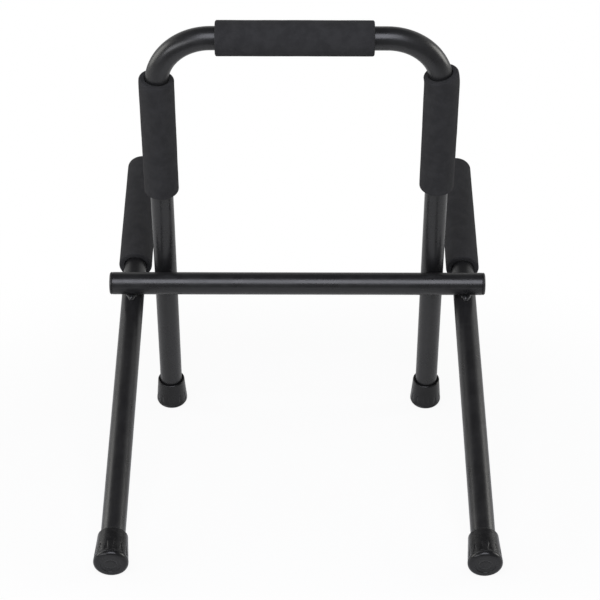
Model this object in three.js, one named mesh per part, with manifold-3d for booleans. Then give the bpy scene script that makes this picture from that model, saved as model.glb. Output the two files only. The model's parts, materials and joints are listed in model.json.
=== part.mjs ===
// Folding tilt-back floor stand for an amplifier cabinet. Millimetres, +Z up, standing on Z = 0.
//
// Two frames of black steel tube cross each other like a pair of scissors. The base frame has
// two straight legs joined by a cross tube, and their upper ends are the padded seat arms.
// The back frame is one tube bent into an arch, which stands between those legs and folds
// about two pivot bolts. Open, its uprights lean on the cross tube, which is the stop.
//
// Each frame is drawn lying flat: X runs across the stand, Y runs along the tubes, and the
// pivot is at the origin. The frame's group then tips it about the pivot.

import * as THREE from 'three';
import { mergeVertices } from 'three/addons/utils/BufferGeometryUtils.js';
import Module from 'manifold-3d';

const wasm = await Module();
wasm.setup();

// Driving dimensions.

const fitGap = 0.3; // between pieces that touch, and round the bolts
const quarterTurn = Math.PI / 2;
const armSlope = THREE.MathUtils.degToRad(22.48); // seat arms above the floor
const openAngle = THREE.MathUtils.degToRad(88.16); // from the seat arms to the open back frame

const largeSides = 28; // facets round a tube, a sleeve or a foot
const smallSides = 20; // facets round the pivot hardware
const hexSides = 6;

const tube = { radius: 12.7, wall: 1.5 };
const foam = { radius: 18.65, edge: 3.0, edgeSteps: 3 };

const baseFrame = {
  legSpacing: 379.3, // between the leg centre lines
  armReach: 209, // pivot to the tip of an arm's tube
  footLength: 38.6,
};

const backFrame = {
  legSpacing: 304.3,
  legReach: 181.7, // pivot to the bottom of a foot
  height: 342.3, // pivot to the centre line of the top bar
  bendRadius: 59.1,
  bendSteps: 8,
  footLength: 35.2,
};

const crossTube = { length: 425.0, shift: -1.6 }; // with its caps; shift is to the left

const plug = { stemLength: 14, stemWall: 1.6, edgeSteps: 2 }; // plastic end pushed into a tube
const crossCapHead = { thickness: 2.8, rounding: 1.8 };
const armPlugHead = { thickness: 1.8, rounding: 0.8 };

const foot = {
  mouthRadius: 15.7,
  soleRadius: 17.95,
  soleRounding: 4.2,
  edgeSteps: 4,
  shoulder: 1.6, // rounding at the mouth
  floorThickness: 5,
  dish: 0.8, // hollow of the sole
  rimWidth: 3.2, // land between the dish and the rounding
  recessDepth: 1.6, // groove round the tube at the mouth
  worn: 0.5, // depth of the flat that stands on the floor
};

// Where each foam sleeve starts and ends along its tube, from the pivot or the bar's middle.
const seatSleeves = { left: [32.5, 211.5], right: [28.1, 208.9] };
const backSleeves = { left: [139.6, 290.2], right: [145.6, 297.6] };
const topSleeve = [-88.3, 79.1];

const bolt = {
  radius: 4,
  headFlats: 13,
  headHeight: 5.3,
  headChamfer: 0.9,
  tail: 1.5, // beyond the nut
};
const nut = { flats: 13, hexHeight: 6.5, collarHeight: 1.6, collarRadius: 5.6, chamfer: 0.9 };
const washer = { radius: 9, saddleThickness: 1.5, thrustThickness: 2 };

const weld = { halfWidth: 8.5, halfLength: 12.5, halfHeight: 4.5, core: 5, rows: 10 };

// Worked out from them.

const crossHeight = 2 * tube.radius + fitGap; // cross tube's centre line above the legs'
const crossSetback = crossHeight * Math.tan(openAngle / 2); // and behind the pivot
const crossTubeHalf = crossTube.length / 2 - crossCapHead.thickness - fitGap;
const tubeBore = tube.radius - tube.wall;
const backSlope = armSlope + openAngle;
const bendStart = backFrame.height - backFrame.bendRadius;
const frameOffset = (baseFrame.legSpacing - backFrame.legSpacing) / 2;
const saddleFlat = tube.radius + fitGap + washer.saddleThickness; // from the tube's centre line
const spacerFlat = (frameOffset - washer.thrustThickness) / 2 - fitGap;

// How far a round end with a rounded edge reaches past its centre, in a direction that makes
// an angle with its axis.
function endReach(radius, rounding, angle) {
  const sharp = radius * Math.sin(angle);
  return sharp + rounding * (1 - Math.cos(angle) - Math.sin(angle));
}

const backFootDrop = endReach(foot.soleRadius, foot.soleRounding, backSlope - quarterTurn);
const baseFootDrop = endReach(foot.soleRadius, foot.soleRounding, quarterTurn - armSlope);
const pivotHeight = backFrame.legReach * Math.sin(backSlope) + backFootDrop - foot.worn;
const baseLegReach = (pivotHeight + foot.worn - baseFootDrop) / Math.sin(armSlope);

const nearReach = baseLegReach * Math.cos(armSlope)
  + endReach(foot.soleRadius, foot.soleRounding, armSlope);
const farReach = seatSleeves.left[1] * Math.cos(armSlope)
  + endReach(foam.radius, foam.edge, armSlope);
const pivotDepth = (nearReach - farReach) / 2; // puts the stand's middle on the origin

// Finishes.

function paintedSteel() {
  return new THREE.MeshStandardMaterial({ color: 0x1c1c1e, roughness: 0.36, metalness: 0.1 });
}

function softFoam() {
  return new THREE.MeshStandardMaterial({ color: 0x343537, roughness: 0.9, metalness: 0 });
}

function blackRubber() {
  return new THREE.MeshStandardMaterial({ color: 0x222224, roughness: 0.55, metalness: 0 });
}

function blackPlastic() {
  return new THREE.MeshStandardMaterial({ color: 0x202022, roughness: 0.5, metalness: 0 });
}

function zincSteel() {
  return new THREE.MeshStandardMaterial({ color: 0x9a9da0, roughness: 0.35, metalness: 0.9 });
}

// Solids: a geometry becomes a closed solid for cutting and joining, and back again.

function solidOf(geometry) {
  const bare = geometry.clone();
  bare.deleteAttribute('normal');
  bare.deleteAttribute('uv');
  const merged = mergeVertices(bare, 1e-3);
  const mesh = new wasm.Mesh({
    numProp: 3,
    vertProperties: merged.attributes.position.array,
    triVerts: new Uint32Array(merged.index.array),
  });
  return new wasm.Manifold(mesh);
}

function geometryOf(solid) {
  const mesh = solid.getMesh();
  const geometry = new THREE.BufferGeometry();
  geometry.setAttribute('position', new THREE.BufferAttribute(mesh.vertProperties, 3));
  geometry.setIndex(new THREE.BufferAttribute(mesh.triVerts, 1));
  geometry.computeVertexNormals();
  return geometry;
}

function meshOf(name, geometry, material) {
  const mesh = new THREE.Mesh(geometry, material);
  mesh.name = name;
  return mesh;
}

// Profiles are lists of [radius, height], turned about Y. They run up the outside.

function turned(profile, sides) {
  const points = profile.map(([radius, height]) => new THREE.Vector2(radius, height));
  return new THREE.LatheGeometry(points, sides);
}

function arcPoints(centreRadius, centreHeight, size, from, to, steps) {
  const points = [];
  for (let step = 0; step <= steps; step += 1) {
    const angle = from + (to - from) * step / steps;
    points.push([centreRadius + size * Math.cos(angle), centreHeight + size * Math.sin(angle)]);
  }
  return points;
}

function ring(innerRadius, outerRadius, low, high, sides) {
  const profile = [
    [innerRadius, low],
    [outerRadius, low],
    [outerRadius, high],
    [innerRadius, high],
    [innerRadius, low],
  ];
  return turned(profile, sides);
}

// Tubes along Y, and round rods along X to drill them with.

function straightTube(low, high) {
  return ring(tubeBore, tube.radius, low, high, largeSides);
}

function rodAcross(radius, length, sides) {
  return new THREE.CylinderGeometry(radius, radius, length, sides).rotateZ(quarterTurn);
}

function rodAlong(radius, length, sides) {
  return new THREE.CylinderGeometry(radius, radius, length, sides);
}

function drillForBolt(geometry, spacing) {
  const drill = rodAcross(bolt.radius + fitGap, spacing + 4 * tube.radius, smallSides);
  return geometryOf(solidOf(geometry).subtract(solidOf(drill)));
}

// The arch of the back frame: up the left leg, over the top bar and down the right leg.
// It has one step for each straight run and a few round each bend.

class ArchLine extends THREE.Curve {
  constructor(halfWidth, low, high, radius, bendSteps) {
    super();
    const left = this.bend(radius - halfWidth, high - radius, radius, Math.PI, bendSteps);
    const right = this.bend(halfWidth - radius, high - radius, radius, quarterTurn, bendSteps);
    this.stations = [
      { at: new THREE.Vector3(-halfWidth, low, 0), along: new THREE.Vector3(0, 1, 0) },
      ...left,
      ...right,
      { at: new THREE.Vector3(halfWidth, low, 0), along: new THREE.Vector3(0, -1, 0) },
    ];
  }

  bend(centreX, centreY, radius, from, steps) {
    const stations = [];
    for (let step = 0; step <= steps; step += 1) {
      const angle = from - quarterTurn * step / steps;
      const out = new THREE.Vector3(Math.cos(angle), Math.sin(angle), 0);
      stations.push({
        at: new THREE.Vector3(centreX, centreY, 0).addScaledVector(out, radius),
        along: new THREE.Vector3(out.y, -out.x, 0),
      });
    }
    return stations;
  }

  stationAt(share) {
    return this.stations[Math.round(share * (this.stations.length - 1))];
  }

  getPointAt(share, target = new THREE.Vector3()) {
    return target.copy(this.stationAt(share).at);
  }

  getTangentAt(share, target = new THREE.Vector3()) {
    return target.copy(this.stationAt(share).along);
  }
}

function circlePoints(radius, sides) {
  const points = [];
  for (let side = 0; side < sides; side += 1) {
    const angle = 2 * Math.PI * side / sides;
    points.push(new THREE.Vector2(radius * Math.cos(angle), radius * Math.sin(angle)));
  }
  return points;
}

function archTube(low) {
  const { legSpacing, height, bendRadius, bendSteps } = backFrame;
  const line = new ArchLine(legSpacing / 2, low, height, bendRadius, bendSteps);
  const section = new THREE.Shape(circlePoints(tube.radius, largeSides));
  section.holes.push(new THREE.Path(circlePoints(tubeBore, largeSides)));
  return new THREE.ExtrudeGeometry(section, {
    extrudePath: line,
    steps: line.stations.length - 1,
    bevelEnabled: false,
  });
}

// Foam sleeves along Y: a thick tube with softened outer edges at both ends.

function sleeve(low, high, stations = []) {
  const bore = tube.radius + fitGap;
  const shoulderRadius = foam.radius - foam.edge;
  const between = stations.filter((height) => height > low && height < high);
  const outside = between.filter((height) => height < high - foam.edge);
  const profile = [
    [bore, low],
    ...arcPoints(shoulderRadius, low + foam.edge, foam.edge, -quarterTurn, 0, foam.edgeSteps),
    ...outside.map((height) => [foam.radius, height]),
    ...arcPoints(shoulderRadius, high - foam.edge, foam.edge, 0, quarterTurn, foam.edgeSteps),
    [bore, high],
    ...between.reverse().map((height) => [bore, height]),
    [bore, low],
  ];
  return turned(profile, largeSides);
}

// A sleeve that reaches past the straight part of a back leg follows the bend inwards.

function backSleeve(low, high, side) {
  const bendMiddle = (bendStart + high) / 2;
  const geometry = sleeve(low, high, [bendStart, bendMiddle]);
  const position = geometry.attributes.position;
  for (let index = 0; index < position.count; index += 1) {
    const past = position.getY(index) - bendStart;
    if (past > 0) {
      const turn = past / backFrame.bendRadius;
      const fromCentre = backFrame.bendRadius + side * position.getX(index);
      position.setX(index, side * (fromCentre * Math.cos(turn) - backFrame.bendRadius));
      position.setY(index, bendStart + fromCentre * Math.sin(turn));
    }
  }
  geometry.computeVertexNormals();
  return geometry;
}

// Moulded rubber foot, its mouth upwards and the middle of its sole at the origin. The frame's
// tilt turns one edge of the sole to the floor, and that edge is worn flat.

function footProfile(length) {
  const sole = foot.soleRadius;
  const bore = tube.radius + fitGap;
  const mouth = foot.mouthRadius;
  const dishRadius = sole - foot.soleRounding - foot.rimWidth;
  return [
    [0, foot.dish],
    [dishRadius - foot.dish, foot.dish],
    [dishRadius, 0],
    ...arcPoints(sole - foot.soleRounding, foot.soleRounding, foot.soleRounding,
      -quarterTurn, 0, foot.edgeSteps),
    ...arcPoints(mouth - foot.shoulder, length - foot.shoulder, foot.shoulder,
      0, quarterTurn, foot.edgeSteps),
    [mouth - foot.shoulder, length - foot.recessDepth],
    [bore, length - foot.recessDepth],
    [bore, foot.floorThickness],
    [0, foot.floorThickness],
  ];
}

function floorBlock(tilt, reach) {
  const size = 4 * foot.soleRadius;
  const block = new THREE.BoxGeometry(size, size, size).translate(0, 0, -size / 2);
  const underPivot = new THREE.Matrix4().makeTranslation(0, -reach * Math.cos(tilt), -pivotHeight);
  const untilt = new THREE.Matrix4().makeRotationX(-tilt);
  const toSole = new THREE.Matrix4().makeTranslation(0, reach, 0);
  return block.applyMatrix4(underPivot).applyMatrix4(untilt).applyMatrix4(toSole);
}

function rubberFoot(length, tilt, reach) {
  const whole = solidOf(turned(footProfile(length), largeSides));
  return geometryOf(whole.subtract(solidOf(floorBlock(tilt, reach))));
}

// Push-in plastic end for a tube, its flange outwards along +Y and its hollow stem inside the
// tube. The tube's end is at the origin.

function tubeEnd({ thickness, rounding }) {
  const stem = tubeBore - fitGap;
  const top = fitGap + thickness;
  const profile = [
    [0, fitGap],
    [stem - plug.stemWall, fitGap],
    [stem - plug.stemWall, -plug.stemLength],
    [stem, -plug.stemLength],
    [stem, fitGap],
    [tube.radius, fitGap],
    ...arcPoints(tube.radius - rounding, top - rounding, rounding, 0, quarterTurn, plug.edgeSteps),
    [0, top],
  ];
  return turned(profile, largeSides);
}

// Pivot hardware, drawn along +Y from the outside of the stand inwards.

function chamferedHex(flats, height, chamfer) {
  const cornerRadius = flats / Math.sqrt(3);
  const hex = rodAlong(cornerRadius, height, hexSides).translate(0, height / 2, 0);
  const blank = turned([
    [0, 0],
    [flats / 2, 0],
    [flats / 2 + chamfer, chamfer / 2],
    [flats / 2 + chamfer, height],
    [0, height],
  ], smallSides);
  return solidOf(hex).intersect(solidOf(blank));
}

function pivotBolt(gripLength) {
  const head = chamferedHex(bolt.headFlats, bolt.headHeight, bolt.headChamfer);
  const overlap = bolt.headHeight / 2;
  const shank = rodAlong(bolt.radius, gripLength + overlap, smallSides);
  shank.translate(0, bolt.headHeight + (gripLength - overlap) / 2, 0);
  return geometryOf(head.add(solidOf(shank)));
}

function lockNut() {
  const bore = bolt.radius + fitGap;
  const hex = chamferedHex(nut.flats, nut.hexHeight, nut.chamfer);
  const top = nut.hexHeight + nut.collarHeight;
  const collar = turned([
    [0, nut.hexHeight / 2],
    [nut.collarRadius, nut.hexHeight / 2],
    [nut.collarRadius, top - nut.chamfer],
    [nut.collarRadius - nut.chamfer, top],
    [0, top],
  ], smallSides);
  const drill = rodAlong(bore, 4 * nut.hexHeight, smallSides);
  return geometryOf(hex.add(solidOf(collar)).subtract(solidOf(drill)));
}

// A washer round the bolt with one flat face, hollowed on the other side to sit on a tube.
// The tube's centre line is at the origin and the flat face looks along +X.

function saddleWasher(flat) {
  const blank = ring(bolt.radius + fitGap, washer.radius, 0, flat, smallSides).rotateZ(-quarterTurn);
  const seat = rodAlong(tube.radius + fitGap, 4 * washer.radius, largeSides);
  return geometryOf(solidOf(blank).subtract(solidOf(seat)));
}

function thrustWasher() {
  const half = washer.thrustThickness / 2;
  return ring(bolt.radius + fitGap, washer.radius, -half, half, smallSides).rotateZ(-quarterTurn);
}

// Weld bead round the spot where the cross tube lies on a leg. The leg's centre line is at the
// origin, below the cross tube's.

function weldBead() {
  const bead = new THREE.SphereGeometry(1, smallSides, weld.rows);
  bead.scale(weld.halfWidth, weld.halfLength, weld.halfHeight);
  bead.translate(0, 0, crossHeight / 2);
  const room = tube.radius + fitGap;
  const length = 4 * weld.halfLength;
  const leg = rodAlong(room, length, largeSides);
  const cross = rodAcross(room, length, largeSides).translate(0, 0, crossHeight);
  const core = rodAlong(weld.core, length, smallSides).rotateX(quarterTurn);
  const cutters = [leg, cross, core].map(solidOf);
  return geometryOf(cutters.reduce((solid, cutter) => solid.subtract(cutter), solidOf(bead)));
}

// The base frame.

function baseLeg(name, x) {
  const low = foot.floorThickness + fitGap - baseLegReach;
  const geometry = drillForBolt(straightTube(low, baseFrame.armReach), 0);
  const mesh = meshOf(name, geometry, paintedSteel());
  mesh.position.x = x;
  return mesh;
}

function crossMember() {
  const mesh = meshOf('cross_tube', straightTube(-crossTubeHalf, crossTubeHalf), paintedSteel());
  mesh.position.set(crossTube.shift, -crossSetback, crossHeight);
  mesh.rotation.z = -quarterTurn;
  return mesh;
}

function crossCap(name, side) {
  const mesh = meshOf(name, tubeEnd(crossCapHead), blackPlastic());
  mesh.position.set(crossTube.shift + side * crossTubeHalf, -crossSetback, crossHeight);
  mesh.rotation.z = -side * quarterTurn;
  return mesh;
}

function seatSleeve(name, x, [low, high]) {
  const mesh = meshOf(name, sleeve(low, high), softFoam());
  mesh.position.x = x;
  return mesh;
}

function armTip(name, x) {
  const mesh = meshOf(name, tubeEnd(armPlugHead), blackPlastic());
  mesh.position.set(x, baseFrame.armReach, 0);
  return mesh;
}

function footMesh(name, length, x, tilt, reach) {
  const mesh = meshOf(name, rubberFoot(length, tilt, reach), blackRubber());
  mesh.position.set(x, -reach, 0);
  return mesh;
}

function legWeld(name, x) {
  const mesh = meshOf(name, weldBead(), paintedSteel());
  mesh.position.set(x, -crossSetback, 0);
  return mesh;
}

// The pivot on one side. Each piece is set out from the outer face inwards.

function pivotHardware(side, sideName) {
  const baseX = side * baseFrame.legSpacing / 2;
  const backX = side * backFrame.legSpacing / 2;
  const headFace = baseFrame.legSpacing / 2 + saddleFlat + fitGap;
  const nutFace = backFrame.legSpacing / 2 - saddleFlat - fitGap;
  const nutHeight = nut.hexHeight + nut.collarHeight;
  const gripLength = headFace - nutFace + nutHeight + bolt.tail;

  const boltMesh = meshOf(`pivot_bolt_${sideName}`, pivotBolt(gripLength), zincSteel());
  boltMesh.position.x = side * (headFace + bolt.headHeight);
  boltMesh.rotation.z = side * quarterTurn;

  const nutMesh = meshOf(`pivot_nut_${sideName}`, lockNut(), zincSteel());
  nutMesh.position.x = side * nutFace;
  nutMesh.rotation.z = side * quarterTurn;

  const thrust = meshOf(`pivot_washer_${sideName}`, thrustWasher(), blackPlastic());
  thrust.position.x = (baseX + backX) / 2;

  const saddles = [
    { name: `base_saddle_outer_${sideName}`, x: baseX, flat: saddleFlat, facing: side },
    { name: `base_saddle_inner_${sideName}`, x: baseX, flat: spacerFlat, facing: -side },
    { name: `back_saddle_outer_${sideName}`, x: backX, flat: spacerFlat, facing: side },
    { name: `back_saddle_inner_${sideName}`, x: backX, flat: saddleFlat, facing: -side },
  ].map(({ name, x, flat, facing }) => {
    const mesh = meshOf(name, saddleWasher(flat), blackPlastic());
    mesh.position.x = x;
    mesh.rotation.z = facing > 0 ? 0 : Math.PI;
    return mesh;
  });
  const [baseOuter, baseInner, backOuter, backInner] = saddles;
  return {
    onBase: [boltMesh, nutMesh, thrust, baseOuter, baseInner],
    onBack: [backOuter, backInner],
  };
}

// Assembly: both frames are tipped about the pivot line.

const sides = [
  { side: -1, sideName: 'left' },
  { side: 1, sideName: 'right' },
];

const base = new THREE.Group();
const back = new THREE.Group();

base.add(crossMember());
back.add(meshOf(
  'back_tube',
  drillForBolt(archTube(foot.floorThickness + fitGap - backFrame.legReach), backFrame.legSpacing),
  paintedSteel(),
));

const topFoam = meshOf('top_sleeve', sleeve(topSleeve[0], topSleeve[1]), softFoam());
topFoam.position.y = backFrame.height;
topFoam.rotation.z = -quarterTurn;
back.add(topFoam);

for (const { side, sideName } of sides) {
  const baseX = side * baseFrame.legSpacing / 2;
  const backX = side * backFrame.legSpacing / 2;
  const hardware = pivotHardware(side, sideName);

  base.add(baseLeg(`base_leg_${sideName}`, baseX));
  base.add(legWeld(`leg_weld_${sideName}`, baseX));
  base.add(crossCap(`cross_cap_${sideName}`, side));
  base.add(seatSleeve(`seat_sleeve_${sideName}`, baseX, seatSleeves[sideName]));
  base.add(armTip(`arm_plug_${sideName}`, baseX));
  const baseFoot = footMesh(`base_foot_${sideName}`, baseFrame.footLength, baseX, armSlope,
    baseLegReach);
  base.add(baseFoot);
  base.add(...hardware.onBase);

  const [low, high] = backSleeves[sideName];
  const padding = meshOf(`back_sleeve_${sideName}`, backSleeve(low, high, side), softFoam());
  padding.position.x = backX;
  back.add(padding);
  const backFoot = footMesh(`back_foot_${sideName}`, backFrame.footLength, backX, backSlope,
    backFrame.legReach);
  back.add(backFoot);
  back.add(...hardware.onBack);
}

for (const [frame, slope] of [[base, armSlope], [back, backSlope]]) {
  frame.position.set(0, pivotDepth, pivotHeight);
  frame.rotation.x = slope;
}

const stand = new THREE.Group();
stand.add(base, back);

export default stand;
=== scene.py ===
import json
import math
import bmesh
import bpy
from mathutils import Matrix, Vector, noise


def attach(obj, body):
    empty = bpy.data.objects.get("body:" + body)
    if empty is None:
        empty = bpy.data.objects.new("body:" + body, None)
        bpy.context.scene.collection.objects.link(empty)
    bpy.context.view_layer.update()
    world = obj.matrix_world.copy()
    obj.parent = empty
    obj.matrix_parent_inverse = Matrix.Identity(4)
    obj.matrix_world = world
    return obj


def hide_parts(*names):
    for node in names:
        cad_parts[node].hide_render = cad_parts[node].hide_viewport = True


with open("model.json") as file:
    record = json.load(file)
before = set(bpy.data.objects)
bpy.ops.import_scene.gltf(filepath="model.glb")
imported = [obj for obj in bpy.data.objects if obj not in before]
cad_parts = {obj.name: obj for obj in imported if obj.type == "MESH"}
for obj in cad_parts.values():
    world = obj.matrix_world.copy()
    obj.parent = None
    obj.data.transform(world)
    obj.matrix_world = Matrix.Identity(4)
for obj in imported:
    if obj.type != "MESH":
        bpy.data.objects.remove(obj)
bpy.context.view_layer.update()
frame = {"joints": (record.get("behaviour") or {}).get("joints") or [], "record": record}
print("frame loaded")

# Folding tilt-back floor stand for an amplifier cabinet. Metres, +Z up, standing on Z = 0.
# Its two frames are drawn lying flat: X across the stand, Y along the tubes, the pivot line
# through the origin. Each frame's tilt then turns it about the pivot line.

pivot = Vector(frame["joints"][0]["pos_m"])
openAngle = math.radians(frame["joints"][0]["range_deg"][1])
armSlope = math.radians(22.48)  # seat arms above the floor
backSlope = armSlope + openAngle
quarterTurn = math.pi / 2
tilts = {
    "base_frame": Matrix.Translation(pivot) @ Matrix.Rotation(armSlope, 4, "X"),
    "back_frame": Matrix.Translation(pivot) @ Matrix.Rotation(backSlope, 4, "X"),
}
bodyOf = {}
for body, members in frame["record"]["behaviour"]["bodies"].items():
    for node in members:
        bodyOf[node] = body
slotOf = {part["node"]: part["material_slot"] for part in frame["record"]["subparts"]}
sides = {"left": -1, "right": 1}

# The camera stands behind the stand, on the side that the base legs reach towards.

photoView = {
    "lens": 132.0,  # mm, on a sensor 36 mm wide
    "sensor": 36.0,
    "elevation": math.radians(20.65),
    "turn": math.radians(0.02),
    "roll": math.radians(0.11),
    "distance": 2.5304,  # along the view to the pivot line
    "pivotRight": -0.00134,  # the pivot line's middle, from the middle of the view
    "pivotUp": 0.01695,
}


def makeCamera():
    lens = bpy.data.cameras.new("photoLens")
    lens.lens = photoView["lens"]
    lens.sensor_width = photoView["sensor"]
    camera = bpy.data.objects.new("photoCamera", lens)
    turn = Matrix.Rotation(photoView["turn"], 4, "Z")
    tip = Matrix.Rotation(quarterTurn - photoView["elevation"], 4, "X")
    facing = turn @ tip @ Matrix.Rotation(photoView["roll"], 4, "Z")
    offset = Vector((-photoView["pivotRight"], -photoView["pivotUp"], photoView["distance"]))
    camera.matrix_world = Matrix.Translation(pivot + facing.to_3x3() @ offset) @ facing
    bpy.context.scene.collection.objects.link(camera)
    bpy.context.scene.camera = camera


makeCamera()
print("camera placed")

# Shader groups. Each puts out a mask or a height that changes over the surface.


def newGroup(name, inputs, outputs):
    group = bpy.data.node_groups.new(name, "ShaderNodeTree")
    for title, kind, value in inputs:
        socket = group.interface.new_socket(name=title, in_out="INPUT", socket_type=kind)
        if value is not None:
            socket.default_value = value
    for title in outputs:
        group.interface.new_socket(name=title, in_out="OUTPUT", socket_type="NodeSocketFloat")
    return group, group.nodes.new("NodeGroupInput"), group.nodes.new("NodeGroupOutput")


def addNoise(tree, vector, scale, detail=2.0, roughness=0.5):
    node = tree.nodes.new("ShaderNodeTexNoise")
    node.inputs["Detail"].default_value = detail
    node.inputs["Roughness"].default_value = roughness
    tree.links.new(vector, node.inputs["Vector"])
    if isinstance(scale, float):
        node.inputs["Scale"].default_value = scale
    else:
        tree.links.new(scale, node.inputs["Scale"])
    return node.outputs["Fac"]


def addMath(tree, operation, first, second):
    node = tree.nodes.new("ShaderNodeMath")
    node.operation = operation
    for socket, value in zip(node.inputs, (first, second)):
        if isinstance(value, float):
            socket.default_value = value
        else:
            tree.links.new(value, socket)
    return node.outputs[0]


def addRange(tree, value, fromLow, fromHigh, toLow, toHigh):
    node = tree.nodes.new("ShaderNodeMapRange")
    node.interpolation_type = "SMOOTHSTEP"
    node.inputs["From Min"].default_value = fromLow
    node.inputs["From Max"].default_value = fromHigh
    node.inputs["To Min"].default_value = toLow
    node.inputs["To Max"].default_value = toHigh
    tree.links.new(value, node.inputs["Value"])
    return node.outputs["Result"]


mottleRange = (0.3, 0.7)  # of the noise, spread over the whole mottle
scuff = {
    "stretch": 0.08,  # of the pattern's scale, along the piece
    "streakScale": 900.0,
    "streakRange": (0.62, 0.72),
    "patchScale": 28.0,
    "patchRange": (0.52, 0.68),
}
dust = {
    "facingRange": (0.55, 1.0),  # how far a surface faces up before dust lies on it
    "speckScale": 240.0,
    "speckRange": (0.45, 0.75),
    "thinnest": 0.2,
}


def makeGrainGroup():
    # fine bumps over a slow mottle, for paint, rubber, foam and plastic alike
    group, start, end = newGroup(
        "surfaceGrain",
        [
            ("Vector", "NodeSocketVector", None),
            ("Grain Scale", "NodeSocketFloat", 800.0),
            ("Mottle Scale", "NodeSocketFloat", 60.0),
        ],
        ["Height", "Mottle"],
    )
    grain = addNoise(group, start.outputs["Vector"], start.outputs["Grain Scale"], 3.0, 0.6)
    mottle = addNoise(group, start.outputs["Vector"], start.outputs["Mottle Scale"], 3.0, 0.55)
    group.links.new(grain, end.inputs["Height"])
    group.links.new(addRange(group, mottle, *mottleRange, 0.0, 1.0), end.inputs["Mottle"])
    return group


def makeScuffGroup():
    # short rub marks that run along the piece
    group, start, end = newGroup(
        "rubMarks",
        [
            ("Vector", "NodeSocketVector", None),
            ("Amount", "NodeSocketFloat", 0.3),
        ],
        ["Mask"],
    )
    stretch = group.nodes.new("ShaderNodeMapping")
    stretch.inputs["Scale"].default_value = (1.0, scuff["stretch"], 1.0)
    group.links.new(start.outputs["Vector"], stretch.inputs["Vector"])
    streaks = addNoise(group, stretch.outputs[0], scuff["streakScale"])
    streaks = addRange(group, streaks, *scuff["streakRange"], 0.0, 1.0)
    patches = addNoise(group, start.outputs["Vector"], scuff["patchScale"])
    patches = addRange(group, patches, *scuff["patchRange"], 0.0, 1.0)
    marks = addMath(group, "MULTIPLY", streaks, patches)
    group.links.new(addMath(group, "MULTIPLY", marks, start.outputs["Amount"]), end.inputs["Mask"])
    return group


def makeDustGroup():
    # a thin film that settles on what faces up
    group, start, end = newGroup(
        "settledDust",
        [
            ("Vector", "NodeSocketVector", None),
            ("Amount", "NodeSocketFloat", 0.1),
        ],
        ["Mask"],
    )
    surface = group.nodes.new("ShaderNodeNewGeometry")
    split = group.nodes.new("ShaderNodeSeparateXYZ")
    group.links.new(surface.outputs["Normal"], split.inputs[0])
    facingUp = addRange(group, split.outputs["Z"], *dust["facingRange"], 0.0, 1.0)
    specks = addNoise(group, start.outputs["Vector"], dust["speckScale"], 4.0, 0.65)
    specks = addRange(group, specks, *dust["speckRange"], dust["thinnest"], 1.0)
    film = addMath(group, "MULTIPLY", facingUp, specks)
    group.links.new(addMath(group, "MULTIPLY", film, start.outputs["Amount"]), end.inputs["Mask"])
    return group


grainGroup = makeGrainGroup()
scuffGroup = makeScuffGroup()
dustGroup = makeDustGroup()
dustColour = (0.11, 0.105, 0.098)
print("shader groups made")

# Finishes, one for each material slot of the record. Their patterns lie on the piece itself.

textureSpot = "textureSpot"


def newMaterial(name):
    material = bpy.data.materials.new(name)
    material.use_nodes = True
    tree = material.node_tree
    tree.nodes.clear()
    shader = tree.nodes.new("ShaderNodeBsdfPrincipled")
    output = tree.nodes.new("ShaderNodeOutputMaterial")
    tree.links.new(shader.outputs[0], output.inputs["Surface"])
    spot = tree.nodes.new("ShaderNodeAttribute")
    spot.attribute_name = textureSpot
    return material, tree, shader, spot.outputs["Vector"]


def addGroup(tree, group, place, **values):
    node = tree.nodes.new("ShaderNodeGroup")
    node.node_tree = group
    tree.links.new(place, node.inputs["Vector"])
    for title, value in values.items():
        node.inputs[title.replace("_", " ")].default_value = value
    return node


def addMix(tree, mask, first, second):
    node = tree.nodes.new("ShaderNodeMix")
    node.data_type = "RGBA"
    tree.links.new(mask, node.inputs[0])
    for socket, value in ((node.inputs[6], first), (node.inputs[7], second)):
        if isinstance(value, tuple):
            socket.default_value = (*value, 1.0)
        else:
            tree.links.new(value, socket)
    return node.outputs[2]


def addBump(tree, shader, height, depth):
    bump = tree.nodes.new("ShaderNodeBump")
    bump.inputs["Distance"].default_value = depth
    tree.links.new(height, bump.inputs["Height"])
    tree.links.new(bump.outputs[0], shader.inputs["Normal"])


def addGrain(tree, place, look):
    scales = {"Grain_Scale": look["grainScale"], "Mottle_Scale": look["mottleScale"]}
    return addGroup(tree, grainGroup, place, **scales)


def darkFinish(name, look):
    # paint, rubber, plastic and foam: a dark colour with grain, rub marks and a little dust
    material, tree, shader, place = newMaterial(name)
    grain = addGrain(tree, place, look)
    marks = addGroup(tree, scuffGroup, place, Amount=look["rubbed"])
    film = addGroup(tree, dustGroup, place, Amount=look["dust"])
    colour = addMix(tree, grain.outputs["Mottle"], look["colour"], look["paler"])
    colour = addMix(tree, marks.outputs["Mask"], colour, look["rubbedColour"])
    colour = addMix(tree, film.outputs["Mask"], colour, dustColour)
    tree.links.new(colour, shader.inputs["Base Color"])
    smooth, rough = look["roughness"]
    level = addRange(tree, grain.outputs["Mottle"], 0.0, 1.0, smooth, rough)
    level = addMath(tree, "ADD", level, marks.outputs["Mask"])
    level = addMath(tree, "ADD", level, film.outputs["Mask"])
    tree.links.new(level, shader.inputs["Roughness"])
    addBump(tree, shader, grain.outputs["Height"], look["grainDepth"])
    shader.inputs["Specular IOR Level"].default_value = look["shine"]
    shader.inputs["Sheen Weight"].default_value = look["sheen"]
    return material


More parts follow.
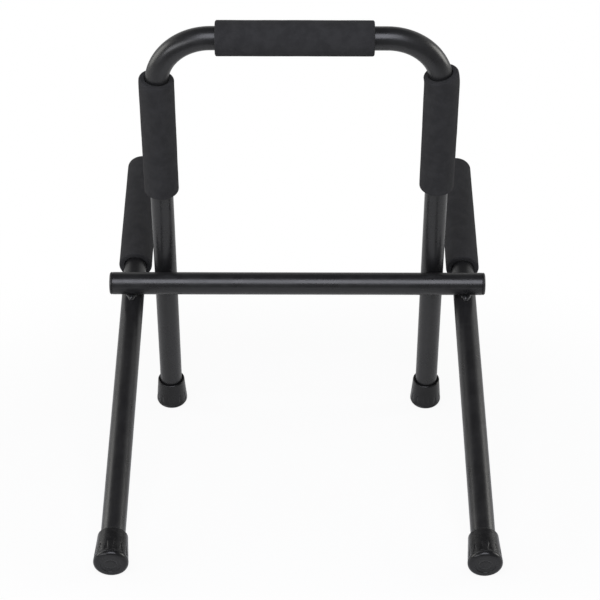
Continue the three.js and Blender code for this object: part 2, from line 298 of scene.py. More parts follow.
paintLook = {
    "colour": (0.0085, 0.0085, 0.0092),
    "paler": (0.0115, 0.0115, 0.0122),
    "rubbedColour": (0.03, 0.03, 0.03),
    "roughness": (0.27, 0.33),
    "grainScale": 850.0,
    "grainDepth": 0.00002,
    "mottleScale": 45.0,
    "rubbed": 0.12,
    "dust": 0.05,
    "shine": 0.5,
    "sheen": 0.0,
}
foamLook = {
    "colour": (0.0225, 0.0225, 0.0238),
    "paler": (0.030, 0.030, 0.0315),
    "rubbedColour": (0.05, 0.05, 0.05),
    "roughness": (0.88, 0.98),
    "grainScale": 750.0,
    "grainDepth": 0.0005,
    "mottleScale": 90.0,
    "rubbed": 0.0,
    "dust": 0.04,
    "shine": 0.12,
    "sheen": 0.02,
}
rubberLook = {
    "colour": (0.0062, 0.0062, 0.0066),
    "paler": (0.0088, 0.0088, 0.0092),
    "rubbedColour": (0.03, 0.03, 0.029),
    "roughness": (0.21, 0.28),
    "grainScale": 1400.0,
    "grainDepth": 0.00002,
    "mottleScale": 110.0,
    "rubbed": 0.25,
    "dust": 0.08,
    "shine": 0.34,
    "sheen": 0.0,
}
plasticLook = {
    "colour": (0.0095, 0.0095, 0.010),
    "paler": (0.012, 0.012, 0.0125),
    "rubbedColour": (0.03, 0.03, 0.03),
    "roughness": (0.36, 0.46),
    "grainScale": 1600.0,
    "grainDepth": 0.00003,
    "mottleScale": 120.0,
    "rubbed": 0.1,
    "dust": 0.06,
    "shine": 0.5,
    "sheen": 0.0,
}
zincLook = {
    "colour": (0.50, 0.51, 0.53),
    "stained": (0.40, 0.38, 0.34),
    "smooth": 0.24,
    "rough": 0.42,
    "grainScale": 2400.0,
    "grainDepth": 0.00001,
    "mottleScale": 260.0,
    "rubbed": 0.6,
}


def zincFinish(name, look):
    material, tree, shader, place = newMaterial(name)
    grain = addGrain(tree, place, look)
    marks = addGroup(tree, scuffGroup, place, Amount=look["rubbed"])
    colour = addMix(tree, grain.outputs["Mottle"], look["colour"], look["stained"])
    tree.links.new(colour, shader.inputs["Base Color"])
    level = addRange(tree, grain.outputs["Mottle"], 0.0, 1.0, look["smooth"], look["rough"])
    level = addMath(tree, "ADD", level, marks.outputs["Mask"])
    tree.links.new(level, shader.inputs["Roughness"])
    addBump(tree, shader, grain.outputs["Height"], look["grainDepth"])
    shader.inputs["Metallic"].default_value = 1.0
    return material


finishes = {
    "black_steel": darkFinish("powderCoat", paintLook),
    "foam": darkFinish("closedCellFoam", foamLook),
    "black_rubber": darkFinish("mouldedRubber", rubberLook),
    "black_plastic": darkFinish("mouldedPlastic", plasticLook),
    "zinc_steel": zincFinish("zincPlate", zincLook),
}
thickPaint = darkFinish("pooledPaint", {**paintLook, "roughness": (0.13, 0.19), "rubbed": 0.0})
print("finishes made")

# Meshes are made of rings of points, bridged in order.

sharpEdge = math.radians(34)


def circle(radius, along, count, reach=None):
    # a ring about Y; reach changes the radius with the angle and the place along
    points = []
    for step in range(count):
        angle = 2 * math.pi * step / count
        size = reach(radius, along, angle) if reach else radius
        points.append(Vector((size * math.sin(angle), along, size * math.cos(angle))))
    return points


def meshFromRings(name, rings, ends):
    count = len(rings[0])
    points = [point for ring in rings for point in ring]
    faces = []
    pairs = [(row, row + 1) for row in range(len(rings) - 1)]
    if ends == "joined":
        pairs.append((len(rings) - 1, 0))
    for low, high in pairs:
        for step in range(count):
            after = (step + 1) % count
            below = (low * count + step, low * count + after)
            above = (high * count + after, high * count + step)
            faces.append(below + above)
    if ends == "capped":
        for row in (0, len(rings) - 1):
            middle = sum(rings[row], Vector()) / count
            points.append(middle)
            for step in range(count):
                faces.append((row * count + step, row * count + (step + 1) % count, len(points) - 1))
    mesh = bpy.data.meshes.new(name)
    mesh.from_pydata(points, [], faces)
    shape = bmesh.new()
    shape.from_mesh(mesh)
    bmesh.ops.recalc_face_normals(shape, faces=shape.faces)
    shape.to_mesh(mesh)
    shape.free()
    return mesh


def arc(middleRadius, middleAlong, size, start, stop, steps):
    points = []
    for step in range(steps + 1):
        angle = start + (stop - start) * step / steps
        points.append((middleRadius + size * math.cos(angle), middleAlong + size * math.sin(angle)))
    return points


def spread(low, high, spacing):
    steps = max(1, math.ceil((high - low) / spacing))
    return [low + (high - low) * step / steps for step in range(steps + 1)]


def pieceName(node):
    first, *others = node.split("_")
    return first + "".join(word.capitalize() for word in others)


def addPiece(node, mesh, place=Matrix(), finish=None):
    name = pieceName(node)
    mesh.name = name
    mesh.shade_smooth()
    mesh.set_sharp_from_angle(angle=sharpEdge)
    mesh.materials.clear()
    mesh.materials.append(finish or finishes[slotOf[node]])
    spots = mesh.attributes.new(textureSpot, "FLOAT_VECTOR", "POINT")
    for vertex in mesh.vertices:
        spots.data[vertex.index].vector = vertex.co + place.translation
    mesh.transform(tilts[bodyOf[node]] @ place)
    piece = bpy.data.objects.new(name, mesh)
    bpy.context.scene.collection.objects.link(piece)
    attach(piece, bodyOf[node])
    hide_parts(node)
    return piece


def tempObject(mesh):
    thing = bpy.data.objects.new("temp", mesh)
    bpy.context.scene.collection.objects.link(thing)
    return thing


def cutAway(mesh, cutter):
    blank = tempObject(mesh)
    tool = tempObject(cutter)
    modifier = blank.modifiers.new("cut", "BOOLEAN")
    modifier.object = tool
    modifier.operation = "DIFFERENCE"
    modifier.solver = "EXACT"
    graph = bpy.context.evaluated_depsgraph_get()
    result = bpy.data.meshes.new_from_object(blank.evaluated_get(graph))
    bpy.data.objects.remove(blank)
    bpy.data.objects.remove(tool)
    return result


# Tubes: 1 inch steel tube with slightly broken ends.

tube = {"radius": 0.0127, "wall": 0.0015, "endBreak": 0.00045, "facets": 96}
fitGap = 0.0003
tubeBore = tube["radius"] - tube["wall"]
baseFrame = {"legSpacing": 0.3793, "armReach": 0.209, "footLength": 0.0386}
backFrame = {
    "legSpacing": 0.3043,
    "legReach": 0.1817,
    "height": 0.3423,
    "footLength": 0.0352,
    "bendRadius": 0.0591,
    "bendSteps": 28,
    "flattening": 0.012,  # share of its width that the tube loses in the middle of a bend
}
crossTube = {"length": 0.425, "shift": -0.0016}
boltHole = {"radius": 0.0043, "rowsAt": 0.0095, "facets": 48}
bendStart = backFrame["height"] - backFrame["bendRadius"]
crossHeight = 2 * tube["radius"] + fitGap
crossSetback = crossHeight * math.tan(openAngle / 2)


def straightTube(name, low, high, rows=()):
    radius = tube["radius"]
    small = tube["endBreak"]
    profile = [(radius - small, low), (radius, low + small)]
    profile += [(radius, along) for along in rows]
    profile += [(radius, high - small), (radius - small, high)]
    profile += [(tubeBore + small, high), (tubeBore, high - small)]
    profile += [(tubeBore, along) for along in reversed(rows)]
    profile += [(tubeBore, low + small), (tubeBore + small, low)]
    rings = [circle(size, along, tube["facets"]) for size, along in profile]
    return meshFromRings(name, rings, "joined")


def boltRod(length):
    # a rod along X to drill with
    rings = [circle(boltHole["radius"], along, boltHole["facets"]) for along in (-length / 2, length / 2)]
    rod = meshFromRings("boltRod", rings, "capped")
    rod.transform(Matrix.Rotation(quarterTurn, 4, "Z"))
    return rod


def archStations(low):
    # (middle, along, outwards, bendShare) up the left leg, over the top and down the right leg
    half = backFrame["legSpacing"] / 2
    radius = backFrame["bendRadius"]
    top = backFrame["height"]
    small = tube["endBreak"]
    across = Vector((-1, 0, 0))
    up = Vector((0, 1, 0))
    straight = [low, low + small, -boltHole["rowsAt"], boltHole["rowsAt"]]
    stations = [(Vector((-half, along, 0)), up, across, 0.0) for along in straight]
    for corner, start in ((-1, math.pi), (1, quarterTurn)):
        middle = Vector((corner * (half - radius), top - radius, 0))
        for step in range(backFrame["bendSteps"] + 1):
            share = step / backFrame["bendSteps"]
            angle = start - quarterTurn * share
            out = Vector((math.cos(angle), math.sin(angle), 0))
            along = Vector((out.y, -out.x, 0))
            stations.append((middle + radius * out, along, out, math.sin(math.pi * share)))
    stations += [(Vector((half, along, 0)), -up, -across, 0.0) for along in reversed(straight)]
    return stations


def archTube(name, low):
    stations = archStations(low)
    small = tube["endBreak"]
    last = len(stations) - 1

    def ring(station, radius):
        middle, along, out, bent = station
        width = radius * (1 - backFrame["flattening"] * bent)
        points = []
        for step in range(tube["facets"]):
            angle = 2 * math.pi * step / tube["facets"]
            points.append(middle + width * math.cos(angle) * out + Vector((0, 0, radius * math.sin(angle))))
        return points

    outside = [ring(s, tube["radius"] - (small if i in (0, last) else 0)) for i, s in enumerate(stations)]
    inside = [ring(s, tubeBore + (small if i in (0, last) else 0)) for i, s in enumerate(stations)]
    return meshFromRings(name, outside + inside[::-1], "joined")


# Rubber feet. The lower half of the side wall has a row of shallow pointed flutes.

foot = {
    "mouthRadius": 0.0157,
    "soleRadius": 0.01795,
    "soleRounding": 0.0042,
    "bandWidth": 0.0007,  # fine groove round the wall, just above the rounding
    "bandDepth": 0.0003,
    "shoulder": 0.0016,
    "floorThickness": 0.005,
    "dish": 0.0008,
    "rimWidth": 0.0032,
    "recessDepth": 0.0016,
    "worn": 0.0005,
    "facets": 168,
    "flutes": 14,
    "fluteLow": 0.0072,
    "fluteHigh": 0.0205,
    "fluteDepth": 0.0005,
    "fluteShare": 0.62,  # of the pitch, at the flutes' foot
    "fluteEdge": 0.0006,
    "rings": (0.2, 0.4, 0.55, 0.6, 0.65, 0.8, 0.9),  # shares of the dish's radius
    "grooveAt": 0.6,
    "groove": 0.0003,  # depth of the fine ring on the sole
    "rowSpacing": 0.0009,
    "mouthBreak": 0.0002,
}


def endReach(radius, rounding, angle):
    sharp = radius * math.sin(angle)
    return sharp + rounding * (1 - math.cos(angle) - math.sin(angle))


baseFootDrop = endReach(foot["soleRadius"], foot["soleRounding"], quarterTurn - armSlope)
baseLegReach = (pivot.z + foot["worn"] - baseFootDrop) / math.sin(armSlope)


def smoothStep(value):
    value = min(1.0, max(0.0, value))
    return value * value * (3 - 2 * value)


def fluted(radius, along, angle):
    low = foot["fluteLow"]
    high = foot["fluteHigh"]
    if not low < along < high:
        return radius
    pitch = 2 * math.pi * radius / foot["flutes"]
    place = (angle * foot["flutes"] / (2 * math.pi)) % 1.0 - 0.5
    halfWidth = pitch * foot["fluteShare"] / 2 * (high - along) / (high - low)
    inside = min(halfWidth - abs(place) * pitch, along - low)
    return radius - foot["fluteDepth"] * smoothStep(inside / foot["fluteEdge"])


def footProfile(length):
    sole = foot["soleRadius"]
    mouth = foot["mouthRadius"]
    rounding = foot["soleRounding"]
    shoulder = foot["shoulder"]
    bore = tube["radius"] + fitGap
    landIn = sole - rounding - foot["rimWidth"]
    dish = foot["dish"]
    profile = []
    for share in foot["rings"]:
        sunk = dish + (foot["groove"] if share == foot["grooveAt"] else 0)
        profile.append((share * landIn, sunk))
    profile += arc(landIn - dish, 0, dish, quarterTurn, 0, 5)
    profile += arc(sole - rounding, rounding, rounding, -quarterTurn, 0, 10)
    band = foot["bandWidth"]
    bandTop = rounding + 1.5 * band
    inBand = sole - foot["bandDepth"]
    profile += [(inBand, rounding + band / 2), (inBand, rounding + band), (sole, bandTop)]
    wall = spread(bandTop, length - shoulder, foot["rowSpacing"])
    for along in wall[1:-1]:
        share = (along - rounding) / (length - shoulder - rounding)
        profile.append((sole + (mouth - sole) * share, along))
    profile += arc(mouth - shoulder, length - shoulder, shoulder, 0, quarterTurn, 8)
    small = foot["mouthBreak"]
    profile += [
        (mouth - shoulder - small, length - small),
        (mouth - shoulder - small, length - foot["recessDepth"]),
        (bore, length - foot["recessDepth"]),
        (bore, foot["floorThickness"]),
    ]
    return profile


def rubberFoot(name, length, place, body):
    rings = [circle(radius, along, foot["facets"], fluted) for radius, along in footProfile(length)]
    mesh = meshFromRings(name, rings, "capped")
    toWorld = tilts[body] @ place
    toFoot = toWorld.inverted()
    for vertex in mesh.vertices:
        spot = toWorld @ vertex.co
        if spot.z < 0:
            vertex.co = toFoot @ Vector((spot.x, spot.y, 0))
    return mesh


# Foam sleeves: closed-cell foam tube, pushed over the steel. Its skin is never quite even.

foam = {
    "seatRadius": 0.01914,
    "backRadius": 0.01926,
    "barRadius": 0.01906,
    "edge": 0.0022,
    "edgeSteps": 8,
    "innerEdge": 0.0008,
    "facets": 96,
    "rowSpacing": 0.003,
    "unevenness": 0.00022,
    "waveLength": 0.03,
    "dents": 0.0001,
    "dentSize": 0.008,
    "pressedTo": 0.01872,  # where the sleeves lie side by side when the stand is folded
    "pressedFade": 0.012,
}
seatSleeves = {"left": (0.0325, 0.2115), "right": (0.0281, 0.2089)}
backSleeves = {"left": (0.1396, 0.2902), "right": (0.1456, 0.2976)}
topSleeve = (-0.0883, 0.0791)
pressedRun = (backSleeves["left"][0], seatSleeves["left"][1])


def unevenSkin(point, seed):
    # how far the skin lies in from its nominal size; never outwards
    slow = noise.noise(point / foam["waveLength"] + Vector((seed, 0, 0)))
    quick = noise.noise(point / foam["dentSize"] + Vector((0, seed, 0)))
    return foam["unevenness"] * (0.5 + 0.5 * slow) + foam["dents"] * (0.5 + 0.5 * quick)


def pressed(point, towards):
    # flattened a little on the side where the other frame's sleeve lies when folded
    start, stop = pressedRun
    outside = max(start - point.y, point.y - stop, 0.0)
    room = foam["backRadius"] - foam["pressedTo"]
    limit = foam["pressedTo"] + room * smoothStep(outside / foam["pressedFade"])
    if point.x * towards > limit:
        return Vector((limit * towards, point.y, point.z))
    return point


def foamSleeve(name, radius, low, high, seed, towards=0, warp=None):
    bore = tube["radius"] + fitGap
    shoulder = radius - foam["edge"]
    inner = foam["innerEdge"]
    edge = foam["edge"]
    steps = foam["edgeSteps"]
    outside = arc(shoulder, low + edge, edge, -quarterTurn, 0, steps)
    skinRows = spread(low + edge, high - edge, foam["rowSpacing"])[1:-1]
    outside += [(radius, along) for along in skinRows]
    outside += arc(shoulder, high - edge, edge, 0, quarterTurn, steps)
    inside = arc(bore + inner, high - inner, inner, quarterTurn, math.pi, 3)
    boreRows = spread(low + inner, high - inner, foam["rowSpacing"])[1:-1]
    inside += [(bore, along) for along in reversed(boreRows)]
    inside += arc(bore + inner, low + inner, inner, math.pi, 1.5 * math.pi, 3)
    rings = []
    for size, along in outside:
        ring = []
        for point in circle(size, along, foam["facets"]):
            spoke = Vector((point.x, 0, point.z)).normalized()
            ring.append(pressed(point - spoke * unevenSkin(point, seed), towards))
        rings.append(ring)
    rings += [circle(size, along, foam["facets"]) for size, along in inside]
    if warp:
        rings = [[warp(point) for point in ring] for ring in rings]
    return meshFromRings(name, rings, "joined")


def roundTheBend(side):
    # what lies past the straight part of a back leg follows the bend inwards
    def warp(point):
        past = point.y - bendStart
        if past <= 0:
            return point
        turn = past / backFrame["bendRadius"]
        fromMiddle = backFrame["bendRadius"] + side * point.x
        x = side * (fromMiddle * math.cos(turn) - backFrame["bendRadius"])
        return Vector((x, bendStart + fromMiddle * math.sin(turn), point.z))

    return warp


# Plastic ends, pushed into the tubes.

plug = {
    "stemLength": 0.014,
    "stemWall": 0.0016,
    "stemBreak": 0.0006,
    "seamBreak": 0.00045,  # where the head meets the tube
    "hollow": 0.00025,
    "hollowRadius": 0.0085,
    "hollowSlope": 0.0003,
    "hollowMiddle": 0.002,
    "facets": 96,
}
crossCapHead = {"thickness": 0.0028, "rounding": 0.0022}
armPlugHead = {"thickness": 0.0018, "rounding": 0.0008}


def tubeEnd(name, head):
    stem = tubeBore - fitGap
    wall = plug["stemWall"]
    depth = plug["stemLength"]
    top = fitGap + head["thickness"]
    rounding = head["rounding"]
    radius = tube["radius"]
    hollow = plug["hollowRadius"]
    profile = [
        (stem - wall, fitGap),
        (stem - wall, -depth),
        (stem - plug["stemBreak"], -depth),
        (stem, plug["stemBreak"] - depth),
        (stem, fitGap),
        (radius - plug["seamBreak"], fitGap),
        (radius, fitGap + plug["seamBreak"]),
    ]
    profile += arc(radius - rounding, top - rounding, rounding, 0, quarterTurn, 8)
    sunk = top - plug["hollow"]
    profile += [(hollow, top), (hollow - plug["hollowSlope"], sunk), (plug["hollowMiddle"], sunk)]
    rings = [circle(size, along, plug["facets"]) for size, along in profile]
    return meshFromRings(name, rings, "capped")


# Pivot hardware, drawn along +Y from the outside of the stand inwards.

bolt = {
    "radius": 0.004,
    "headFlats": 0.013,
    "headHeight": 0.0053,
    "chamfer": 0.0009,
    "tail": 0.0015,
    "threadLength": 0.014,
    "pitch": 0.00125,
    "threadDepth": 0.0005,
    "tipBreak": 0.0003,
    "faceInset": 0.0008,
    "underBreak": 0.0002,
    "seatInset": 0.0001,
    "rowsPerTurn": 10,
    "facets": 96,
}
nut = {
    "flats": 0.013,
    "hexHeight": 0.0065,
    "collarHeight": 0.0016,
    "collarRadius": 0.0056,
    "chamfer": 0.0009,
    "insertRadius": 0.0048,
    "insertDepth": 0.0005,
    "boreBreak": 0.0004,
}
washer = {
    "radius": 0.009,
    "saddleThickness": 0.0015,
    "thrustThickness": 0.002,
    "edge": 0.0003,
    "rowSpacing": 0.0008,
    "facets": 72,
}
frameOffset = (baseFrame["legSpacing"] - backFrame["legSpacing"]) / 2
saddleFlat = tube["radius"] + fitGap + washer["saddleThickness"]
spacerFlat = (frameOffset - washer["thrustThickness"]) / 2 - fitGap
headFace = baseFrame["legSpacing"] / 2 + saddleFlat + fitGap
nutFace = backFrame["legSpacing"] / 2 - saddleFlat - fitGap
gripLength = headFace - nutFace + nut["hexHeight"] + nut["collarHeight"] + bolt["tail"]


def hexReach(flats, cornerBreak=0.0001):
    # the radius of a hexagon at an angle, no further out than a turned blank allows
    def reach(radius, along, angle):
        local = (angle % (math.pi / 3)) - math.pi / 6
        corner = flats / math.sqrt(3) - cornerBreak
        return min(radius, flats / 2 / math.cos(local), corner)

    return reach


chamferShares = (0, 0.15, 0.3, 0.45, 0.6, 0.8, 1.0)


def chamferRows(flats, chamfer, start, towards):
    # the turned blank widens from the flats' circle to past the corners
    rows = []
    for share in chamferShares:
        rows.append((flats / 2 + chamfer * share, start + towards * chamfer / 2 * share))
    return rows


def pivotBolt(name):
    end = bolt["headHeight"] + gripLength
    threadStart = end - bolt["threadLength"]
    hexagon = hexReach(bolt["headFlats"])
    rings = [circle(bolt["headFlats"] / 2 - bolt["faceInset"], 0.0, bolt["facets"])]
    for radius, along in chamferRows(bolt["headFlats"], bolt["chamfer"], 0.0, 1):
        rings.append(circle(radius, along, bolt["facets"], hexagon))
    wide = bolt["headFlats"]
    rings.append(circle(wide, bolt["headHeight"] - bolt["underBreak"], bolt["facets"], hexagon))
    rings.append(circle(wide / 2 - bolt["seatInset"], bolt["headHeight"], bolt["facets"]))
    rings.append(circle(bolt["radius"], bolt["headHeight"], bolt["facets"]))

    def threaded(radius, along, angle):
        turns = (along - threadStart) / bolt["pitch"] - angle / (2 * math.pi)
        valley = abs((turns % 1.0) * 2 - 1)
        fade = smoothStep((along - threadStart) / bolt["pitch"])
        return radius - bolt["threadDepth"] * valley * fade

    chamfer = bolt["threadDepth"] + bolt["tipBreak"]
    for along in spread(threadStart, end - chamfer, bolt["pitch"] / bolt["rowsPerTurn"]):
        rings.append(circle(bolt["radius"], along, bolt["facets"], threaded))
    rings.append(circle(bolt["radius"] - chamfer, end, bolt["facets"]))
    return meshFromRings(name, rings, "capped")


def lockNut(name):
    hexagon = hexReach(nut["flats"])
    top = nut["hexHeight"] + nut["collarHeight"]
    bore = boltHole["radius"]
    facets = bolt["facets"]
    chamfer = nut["chamfer"]
    small = nut["boreBreak"]
    rings = [circle(bore, small, facets), circle(bore + small, 0.0, facets)]
    for radius, along in chamferRows(nut["flats"], chamfer, 0.0, 1):
        rings.append(circle(radius, along, facets, hexagon))
    for radius, along in reversed(chamferRows(nut["flats"], chamfer, nut["hexHeight"], -1)):
        rings.append(circle(radius, along, facets, hexagon))
    collar = nut["collarRadius"]
    rings.append(circle(collar, nut["hexHeight"], facets))
    for radius, along in arc(collar - chamfer, top - chamfer, chamfer, 0, quarterTurn, 6):
        rings.append(circle(radius, along, facets))
    insert = nut["insertRadius"]
    rings.append(circle(insert, top, facets))
    rings.append(circle(insert, top - nut["insertDepth"], facets))
    rings.append(circle(bore, top - nut["insertDepth"], facets))
    return meshFromRings(name, rings, "joined")


def saddleWasher(name, flat):
    # hollowed to sit on a tube along Y; its flat face looks along +X
    seat = tube["radius"] + fitGap
    hole = boltHole["radius"]
    edge = washer["edge"]
    outer = washer["radius"]

    def seatRing(radius, lift):
        points = []
        for step in range(washer["facets"]):
            angle = 2 * math.pi * step / washer["facets"]
            z = radius * math.sin(angle)
            points.append(Vector((math.sqrt(seat * seat - z * z) + lift, radius * math.cos(angle), z)))
        return points

    def flatRing(radius, x):
        points = seatRing(radius, 0)
        return [Vector((x, point.y, point.z)) for point in points]

    rings = [seatRing(radius, 0) for radius in spread(hole, outer - edge, washer["rowSpacing"])]
    rings.append(seatRing(outer, edge))
    for size, depth in arc(outer - edge, flat - edge, edge, 0, quarterTurn, 4):
        rings.append(flatRing(size, depth))
    rings += [flatRing(hole + edge, flat), flatRing(hole, flat - edge)]
    return meshFromRings(name, rings, "joined")


def thrustWasher(name):
    half = washer["thrustThickness"] / 2
    hole = boltHole["radius"]
    edge = washer["edge"]
    profile = arc(washer["radius"] - edge, half - edge, edge, quarterTurn, 0, 4)
    profile += arc(washer["radius"] - edge, edge - half, edge, 0, -quarterTurn, 4)
    profile += [(hole + edge, -half), (hole, edge - half), (hole, half - edge), (hole + edge, half)]
    rings = [circle(size, along, washer["facets"]) for size, along in profile]
    mesh = meshFromRings(name, rings, "joined")
    mesh.transform(Matrix.Rotation(-quarterTurn, 4, "Z"))
    return mesh


# Weld bead: a lumpy ring in the crevice where the cross tube lies on a leg.

weld = {
    "halfAcross": 0.0056,
    "halfAlong": 0.0098,
    "overfill": 0.0007,  # how far the bead's radius passes half the crevice
    "ripples": 9,
    "ripple": 0.08,
    "lumps": 0.18,
    "lumpScale": 4,
    "dropSize": 0.0012,  # the last drop of the weld, on the side that faces the feet
    "dropReach": 0.0026,
    "dropSpread": 0.36,
    "steps": 170,
    "facets": 28,
}


def weldBead(name, seed):
    rings = []
    for step in range(weld["steps"]):
        angle = 2 * math.pi * step / weld["steps"]
        fromDrop = (angle - 1.5 * math.pi) / weld["dropSpread"]
        drop = math.exp(-fromDrop * fromDrop)
        x = weld["halfAcross"] * math.cos(angle)
        y = weld["halfAlong"] * math.sin(angle)
        onLeg = math.sqrt(tube["radius"] ** 2 - x * x)
        underCross = crossHeight - math.sqrt(tube["radius"] ** 2 - y * y)
        out = Vector((math.cos(angle), math.sin(angle), 0))
        middle = Vector((x, y, (onLeg + underCross) / 2)) + weld["dropReach"] * drop * out
        middle.z -= weld["dropSize"] * drop
        lumpSpot = Vector((weld["lumpScale"] * x, weld["lumpScale"] * y, 0)) / weld["halfAlong"]
        lump = noise.noise(lumpSpot + Vector((seed, 0, 0)))
        ripple = abs(math.sin(weld["ripples"] * angle / 2))
        size = (underCross - onLeg) / 2 + weld["overfill"]
        size *= 1 + weld["lumps"] * lump + weld["ripple"] * (ripple - 0.5)
        size += weld["dropSize"] * drop
        ring = []
        for facet in range(weld["facets"]):
            turn = 2 * math.pi * facet / weld["facets"]
            ring.append(middle + size * (math.cos(turn) * out + Vector((0, 0, math.sin(turn)))))
        rings.append(ring)
    return meshFromRings(name, rings, "joined")


# Putting it together. Where a piece points along X, it is turned from Y onto X.


def at(x, y=0.0, z=0.0, turn=0.0):
    return Matrix.Translation((x, y, z)) @ Matrix.Rotation(turn, 4, "Z")


crossHalf = crossTube["length"] / 2 - crossCapHead["thickness"] - fitGap
addPiece(
    "cross_tube",
    straightTube("crossTube", -crossHalf, crossHalf),
    at(crossTube["shift"], -crossSetback, crossHeight, -quarterTurn),
)
for sideName, side in sides.items():
    place = at(side * baseFrame["legSpacing"] / 2)
    low = foot["floorThickness"] + fitGap - baseLegReach
    rows = (-boltHole["rowsAt"], boltHole["rowsAt"])
    leg = straightTube("leg", low, baseFrame["armReach"], rows)
    addPiece(f"base_leg_{sideName}", cutAway(leg, boltRod(4 * tube["radius"])), place)
    addPiece(f"leg_weld_{sideName}", weldBead("weld", 3.0 * side), place @ at(0, -crossSetback), thickPaint)
    addPiece(
        f"cross_cap_{sideName}",
        tubeEnd("cap", crossCapHead),
        at(crossTube["shift"] + side * crossHalf, -crossSetback, crossHeight, -side * quarterTurn),
    )
    addPiece(f"arm_plug_{sideName}", tubeEnd("plug", armPlugHead), place @ at(0, baseFrame["armReach"]))
    sole = place @ at(0, -baseLegReach)
    addPiece(f"base_foot_{sideName}", rubberFoot("foot", baseFrame["footLength"], sole, "base_frame"), sole)
print("base frame made")

archLow = foot["floorThickness"] + fitGap - backFrame["legReach"]
arch = archTube("arch", archLow)
addPiece("back_tube", cutAway(arch, boltRod(backFrame["legSpacing"] + 4 * tube["radius"])))
for sideName, side in sides.items():
    sole = at(side * backFrame["legSpacing"] / 2, -backFrame["legReach"])
    addPiece(f"back_foot_{sideName}", rubberFoot("foot", backFrame["footLength"], sole, "back_frame"), sole)
print("back frame made")

for sideName, side in sides.items():
    baseX = side * baseFrame["legSpacing"] / 2
    backX = side * backFrame["legSpacing"] / 2
    inward = side * quarterTurn
    headPlace = at(side * (headFace + bolt["headHeight"]), turn=inward)
    addPiece(f"pivot_bolt_{sideName}", pivotBolt("bolt"), headPlace)
    addPiece(f"pivot_nut_{sideName}", lockNut("nut"), at(side * nutFace, turn=inward))
    addPiece(f"pivot_washer_{sideName}", thrustWasher("washer"), at((baseX + backX) / 2))
    outwards = 0.0 if side > 0 else math.pi
    inwards = math.pi - outwards
    addPiece(f"base_saddle_outer_{sideName}", saddleWasher("saddle", saddleFlat), at(baseX, turn=outwards))
    addPiece(f"base_saddle_inner_{sideName}", saddleWasher("saddle", spacerFlat), at(baseX, turn=inwards))
    addPiece(f"back_saddle_outer_{sideName}", saddleWasher("saddle", spacerFlat), at(backX, turn=outwards))
    addPiece(f"back_saddle_inner_{sideName}", saddleWasher("saddle", saddleFlat), at(backX, turn=inwards))
print("pivots made")

for sideName, side in sides.items():
    low, high = seatSleeves[sideName]
    seat = foamSleeve("seat", foam["seatRadius"], low, high, 11.0 * side, -side)
    addPiece(f"seat_sleeve_{sideName}", seat, at(side * baseFrame["legSpacing"] / 2))
    low, high = backSleeves[sideName]
    rest = foamSleeve("rest", foam["backRadius"], low, high, 23.0 * side, side, roundTheBend(side))
    addPiece(f"back_sleeve_{sideName}", rest, at(side * backFrame["legSpacing"] / 2))
bar = foamSleeve("bar", foam["barRadius"], topSleeve[0], topSleeve[1], 37.0)
addPiece("top_sleeve", bar, at(0, backFrame["height"], turn=-quarterTurn))
print("foam sleeves made")

# Studio: a pale floor in a white surround. Gloss sees a darker room behind the camera and
# overhead. There is one softbox above the camera, one low at its left and one at each side.

studio = {
    "floorReach": 3.5,
    "floorFront": 0.42,  # the white floor ends just in front of the stand
    "floorColour": (0.80, 0.80, 0.80),
    "floorWhite": 0.92,  # share of the floor that the camera sees plain white, whatever falls on it
    "glossWhite": 0.1,  # the same share in reflections
    "whiteFrom": 0.32,  # the floor turns all white between these distances from the stand
    "whiteTo": 0.7,
    "backShine": 0.6,  # what gloss sees beyond the stand, behind the camera and overhead
    "frontShine": 0.216,
    "topShine": 0.15,
    "ambient": 0.48,
    "topAmbient": 0.24,
    "behindRange": (-0.95, 0.6),  # of a direction's Y, from behind the camera to beyond the stand
    "overheadRange": (0.55, 0.85),  # of its Z
    "ambientRange": (0.3, 0.9),
    "lampDistance": 2.3,
}
softboxes = {  # turn is clockwise from +Y, seen from above; brightness is that of a white wall at 1
    "keyBox": {
        "turn": 180.0,
        "lift": 41.0,
        "aimHeight": 0.19,
        "width": 1.6,
        "height": 1.5,
        "brightness": 4.6,
        "colour": (0.96, 0.97, 1.07),
    },
    "cornerBox": {
        "turn": -137.0,
        "lift": 6.0,
        "aimHeight": 0.48,
        "width": 1.6,
        "height": 0.8,
        "brightness": 3.5,
        "colour": (0.98, 0.99, 1.03),
    },
    "leftBox": {
        "turn": -77.0,
        "lift": 12.0,
        "aimHeight": 0.48,
        "width": 1.4,
        "height": 1.3,
        "brightness": 2.5,
        "colour": (1.02, 1.01, 0.96),
    },
    "rightBox": {
        "turn": 76.0,
        "lift": 12.0,
        "aimHeight": 0.48,
        "width": 1.1,
        "height": 1.1,
        "brightness": 4.3,
        "colour": (1.02, 1.01, 0.96),
    },
}


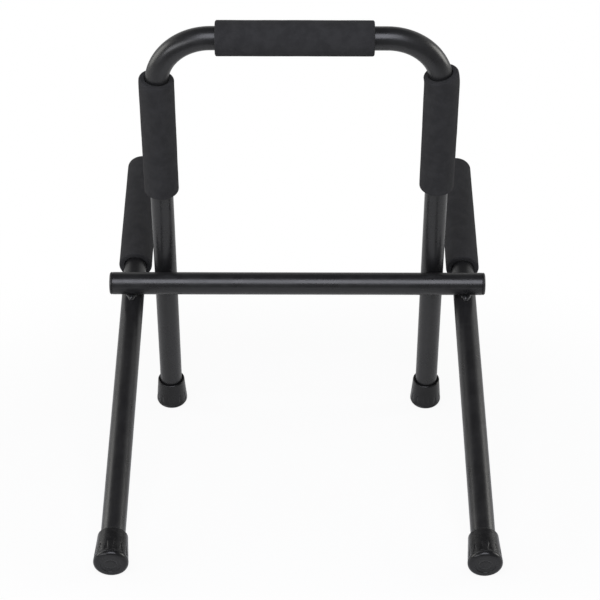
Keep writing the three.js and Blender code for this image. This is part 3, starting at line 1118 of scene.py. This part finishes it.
def makeWorld():
    world = bpy.data.worlds.new("studioRoom")
    bpy.context.scene.world = world
    world.use_nodes = True
    tree = world.node_tree
    tree.nodes.clear()
    rays = tree.nodes.new("ShaderNodeLightPath")
    direction = tree.nodes.new("ShaderNodeTexCoord").outputs["Generated"]
    split = tree.nodes.new("ShaderNodeSeparateXYZ")
    tree.links.new(direction, split.inputs[0])
    frontToBack = (studio["frontShine"], studio["backShine"])
    behind = addRange(tree, split.outputs["Y"], *studio["behindRange"], *frontToBack)
    overhead = addRange(tree, split.outputs["Z"], *studio["overheadRange"], 1.0, studio["topShine"])
    shine = addMath(tree, "MULTIPLY", behind, overhead)
    inGloss = addMath(tree, "MULTIPLY", rays.outputs["Is Glossy Ray"], shine)
    seen = addMath(tree, "MAXIMUM", rays.outputs["Is Camera Ray"], rays.outputs["Is Transmission Ray"])
    bare = addMath(tree, "MAXIMUM", seen, rays.outputs["Is Glossy Ray"])
    rest = addMath(tree, "SUBTRACT", 1.0, bare)
    lowToTop = (studio["ambient"], studio["topAmbient"])
    level = addRange(tree, split.outputs["Z"], *studio["ambientRange"], *lowToTop)
    ambient = addMath(tree, "MULTIPLY", rest, level)
    strength = addMath(tree, "ADD", addMath(tree, "MAXIMUM", seen, inGloss), ambient)
    background = tree.nodes.new("ShaderNodeBackground")
    background.inputs["Color"].default_value = (1.0, 1.0, 1.0, 1.0)
    tree.links.new(strength, background.inputs["Strength"])
    output = tree.nodes.new("ShaderNodeOutputWorld")
    tree.links.new(background.outputs[0], output.inputs["Surface"])


def makeFloor():
    reach = studio["floorReach"]
    front = -studio["floorFront"]
    corners = [(-reach, front, 0), (reach, front, 0), (reach, reach, 0), (-reach, reach, 0)]
    mesh = bpy.data.meshes.new("studioFloor")
    mesh.from_pydata(corners, [], [(0, 1, 2, 3)])
    floor = bpy.data.objects.new("studioFloor", mesh)
    bpy.context.scene.collection.objects.link(floor)
    material = bpy.data.materials.new("paleFloor")
    material.use_nodes = True
    tree = material.node_tree
    tree.nodes.clear()
    rays = tree.nodes.new("ShaderNodeLightPath")
    matt = tree.nodes.new("ShaderNodeBsdfDiffuse")
    matt.inputs["Color"].default_value = (*studio["floorColour"], 1.0)
    white = tree.nodes.new("ShaderNodeEmission")
    blend = tree.nodes.new("ShaderNodeMixShader")
    length = tree.nodes.new("ShaderNodeVectorMath")
    length.operation = "LENGTH"
    tree.links.new(tree.nodes.new("ShaderNodeTexCoord").outputs["Object"], length.inputs[0])
    far = length.outputs["Value"]
    plain = addRange(tree, far, studio["whiteFrom"], studio["whiteTo"], studio["floorWhite"], 1.0)
    seen = addMath(tree, "MAXIMUM", rays.outputs["Is Camera Ray"], rays.outputs["Is Transmission Ray"])
    inGloss = addMath(tree, "MULTIPLY", rays.outputs["Is Glossy Ray"], studio["glossWhite"])
    share = addMath(tree, "ADD", addMath(tree, "MULTIPLY", seen, plain), inGloss)
    tree.links.new(share, blend.inputs[0])
    tree.links.new(matt.outputs[0], blend.inputs[1])
    tree.links.new(white.outputs[0], blend.inputs[2])
    output = tree.nodes.new("ShaderNodeOutputMaterial")
    tree.links.new(blend.outputs[0], output.inputs["Surface"])
    mesh.materials.append(material)


def makeSoftbox(name, box):
    lamp = bpy.data.lights.new(name, "AREA")
    lamp.shape = "RECTANGLE"
    lamp.size = box["width"]
    lamp.size_y = box["height"]
    lamp.energy = box["brightness"] * math.pi * box["width"] * box["height"]
    lamp.color = box["colour"]
    softbox = bpy.data.objects.new(name, lamp)
    turn = math.radians(box["turn"])
    lift = math.radians(box["lift"])
    away = Vector((math.sin(turn) * math.cos(lift), math.cos(turn) * math.cos(lift), math.sin(lift)))
    place = Vector((0, 0, box["aimHeight"])) + studio["lampDistance"] * away
    softbox.matrix_world = Matrix.Translation(place) @ away.to_track_quat("Z", "Y").to_matrix().to_4x4()
    softbox.visible_camera = False
    bpy.context.scene.collection.objects.link(softbox)


makeWorld()
makeFloor()
for boxName, box in softboxes.items():
    makeSoftbox(boxName, box)
bpy.context.scene.view_settings.view_transform = "Standard"
print("studio made")
